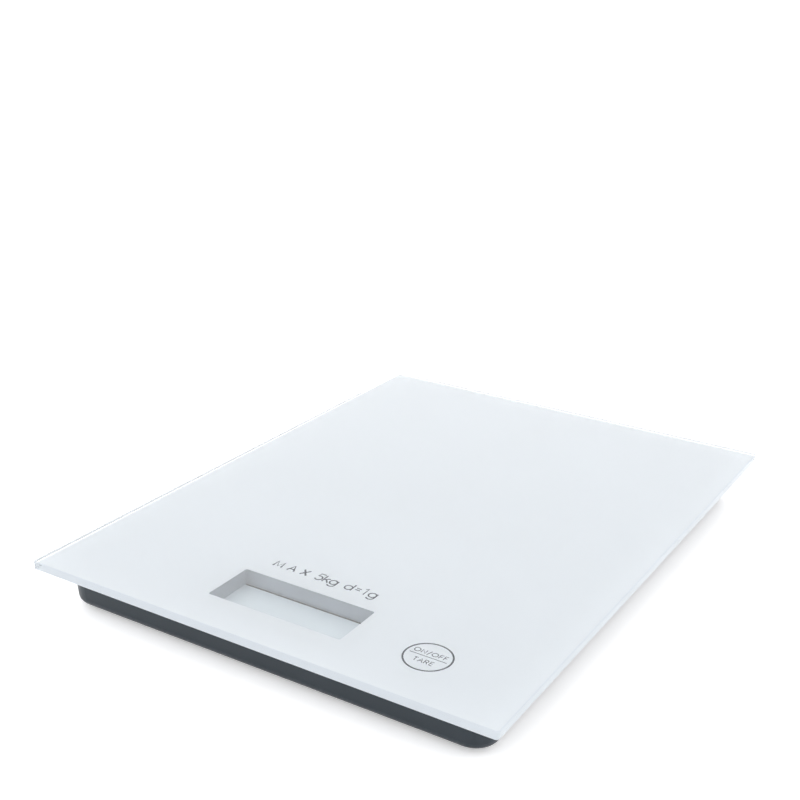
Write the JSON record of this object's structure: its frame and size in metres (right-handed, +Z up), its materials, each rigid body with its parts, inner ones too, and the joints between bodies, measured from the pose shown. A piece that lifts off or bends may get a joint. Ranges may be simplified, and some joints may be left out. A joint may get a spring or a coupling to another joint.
{
  "type": "kitchen scale",
  "caption": "Slim kitchen scale: white back-printed glass platform with display window and touch key on a shallow dark tray with four load-cell feet.",
  "frame": {"origin": "on the surface the scale stands on, below the centre of the glass", "axes": "+Z up through the weighing face; +Y from the front edge, with the display and key, to the back; +X to the right seen from the front"},
  "size_m": [0.17, 0.23, 0.0177],
  "materials": {
    "clear_glass": "clear, ground edges",
    "white_print": "enamel screen print on the back of the glass",
    "foam_tape": "closed-cell foam tape",
    "inner_plastic": "moulded",
    "tray_plastic": "fine satin texture",
    "zinc_steel": "zinc plated",
    "black_plastic": "moulded, dark grey",
    "ribbon_film": "printed film",
    "circuit_board": "solder mask",
    "black_epoxy": "glob top",
    "component_black": "moulded component bodies",
    "key_plastic": "fine satin texture",
    "copper_foil": "copper foil",
    "spring_steel": "nickel plated",
    "cell_steel": "stainless can",
    "lcd_film": "anti-glare polariser",
    "lcd_glass": "thin glass",
    "lcd_reflector": "satin reflector film",
    "red_wire": "insulation",
    "black_wire": "insulation",
    "cell_plate_steel": "nickel-plated sheet",
    "white_silicone": "silicone",
    "foot_plastic": "fine satin texture",
    "foot_rubber": "soft matte",
    "lead_sleeve": "insulation"
  },
  "bodies": {
    "housing": {"glass_plate": "clear_glass", "back_print": "white_print", "foam_tape": "foam_tape", "carrier_frame": "inner_plastic", "bottom_tray": "tray_plastic", "case_screws": "zinc_steel", "display_shroud": "black_plastic", "lcd_ribbon": "ribbon_film", "main_board": "circuit_board", "board_screws": "zinc_steel", "controller_cap": "black_epoxy", "board_components": "component_black", "unit_switch": "component_black", "touch_pad": "copper_foil", "touch_spring": "spring_steel", "coin_cell": "cell_steel", "battery_contact_positive": "spring_steel", "battery_contact_negative": "spring_steel", "holder_screws": "zinc_steel", "lcd_polariser": "lcd_film", "lcd_front_glass": "lcd_glass", "lcd_rear_glass": "lcd_glass", "lcd_reflector": "lcd_reflector", "battery_wire_positive": "red_wire", "battery_wire_negative": "black_wire", "load_cell_front_left": "cell_plate_steel", "gauge_cover_front_left": "white_silicone", "load_cell_holder_front_left": "inner_plastic", "foot_front_left": "foot_plastic", "foot_pad_front_left": "foot_rubber", "sensor_lead_front_left": "lead_sleeve", "load_cell_front_right": "cell_plate_steel", "gauge_cover_front_right": "white_silicone", "load_cell_holder_front_right": "inner_plastic", "foot_front_right": "foot_plastic", "foot_pad_front_right": "foot_rubber", "sensor_lead_front_right": "lead_sleeve", "load_cell_rear_left": "cell_plate_steel", "gauge_cover_rear_left": "white_silicone", "load_cell_holder_rear_left": "inner_plastic", "foot_rear_left": "foot_plastic", "foot_pad_rear_left": "foot_rubber", "sensor_lead_rear_left": "lead_sleeve", "load_cell_rear_right": "cell_plate_steel", "gauge_cover_rear_right": "white_silicone", "load_cell_holder_rear_right": "inner_plastic", "foot_rear_right": "foot_plastic", "foot_pad_rear_right": "foot_rubber", "sensor_lead_rear_right": "lead_sleeve"},
    "unit_key": {"unit_button": "key_plastic", "unit_switch_plunger": "black_plastic"},
    "battery_lid": {"battery_door": "tray_plastic"}
  },
  "joints": [
    {"name": "unit_button_press", "type": "slide", "parent": "housing", "child": "unit_key", "axis": [0, 0, 1], "range_m": [0, 0.0004], "stiffness_N_per_m": 3000},
    {"name": "battery_door_hinge", "type": "hinge", "parent": "housing", "child": "battery_lid", "pos_m": [0, 0.0066, 0.00225], "axis": [1, 0, 0], "range_deg": [0, 90]}
  ]
}
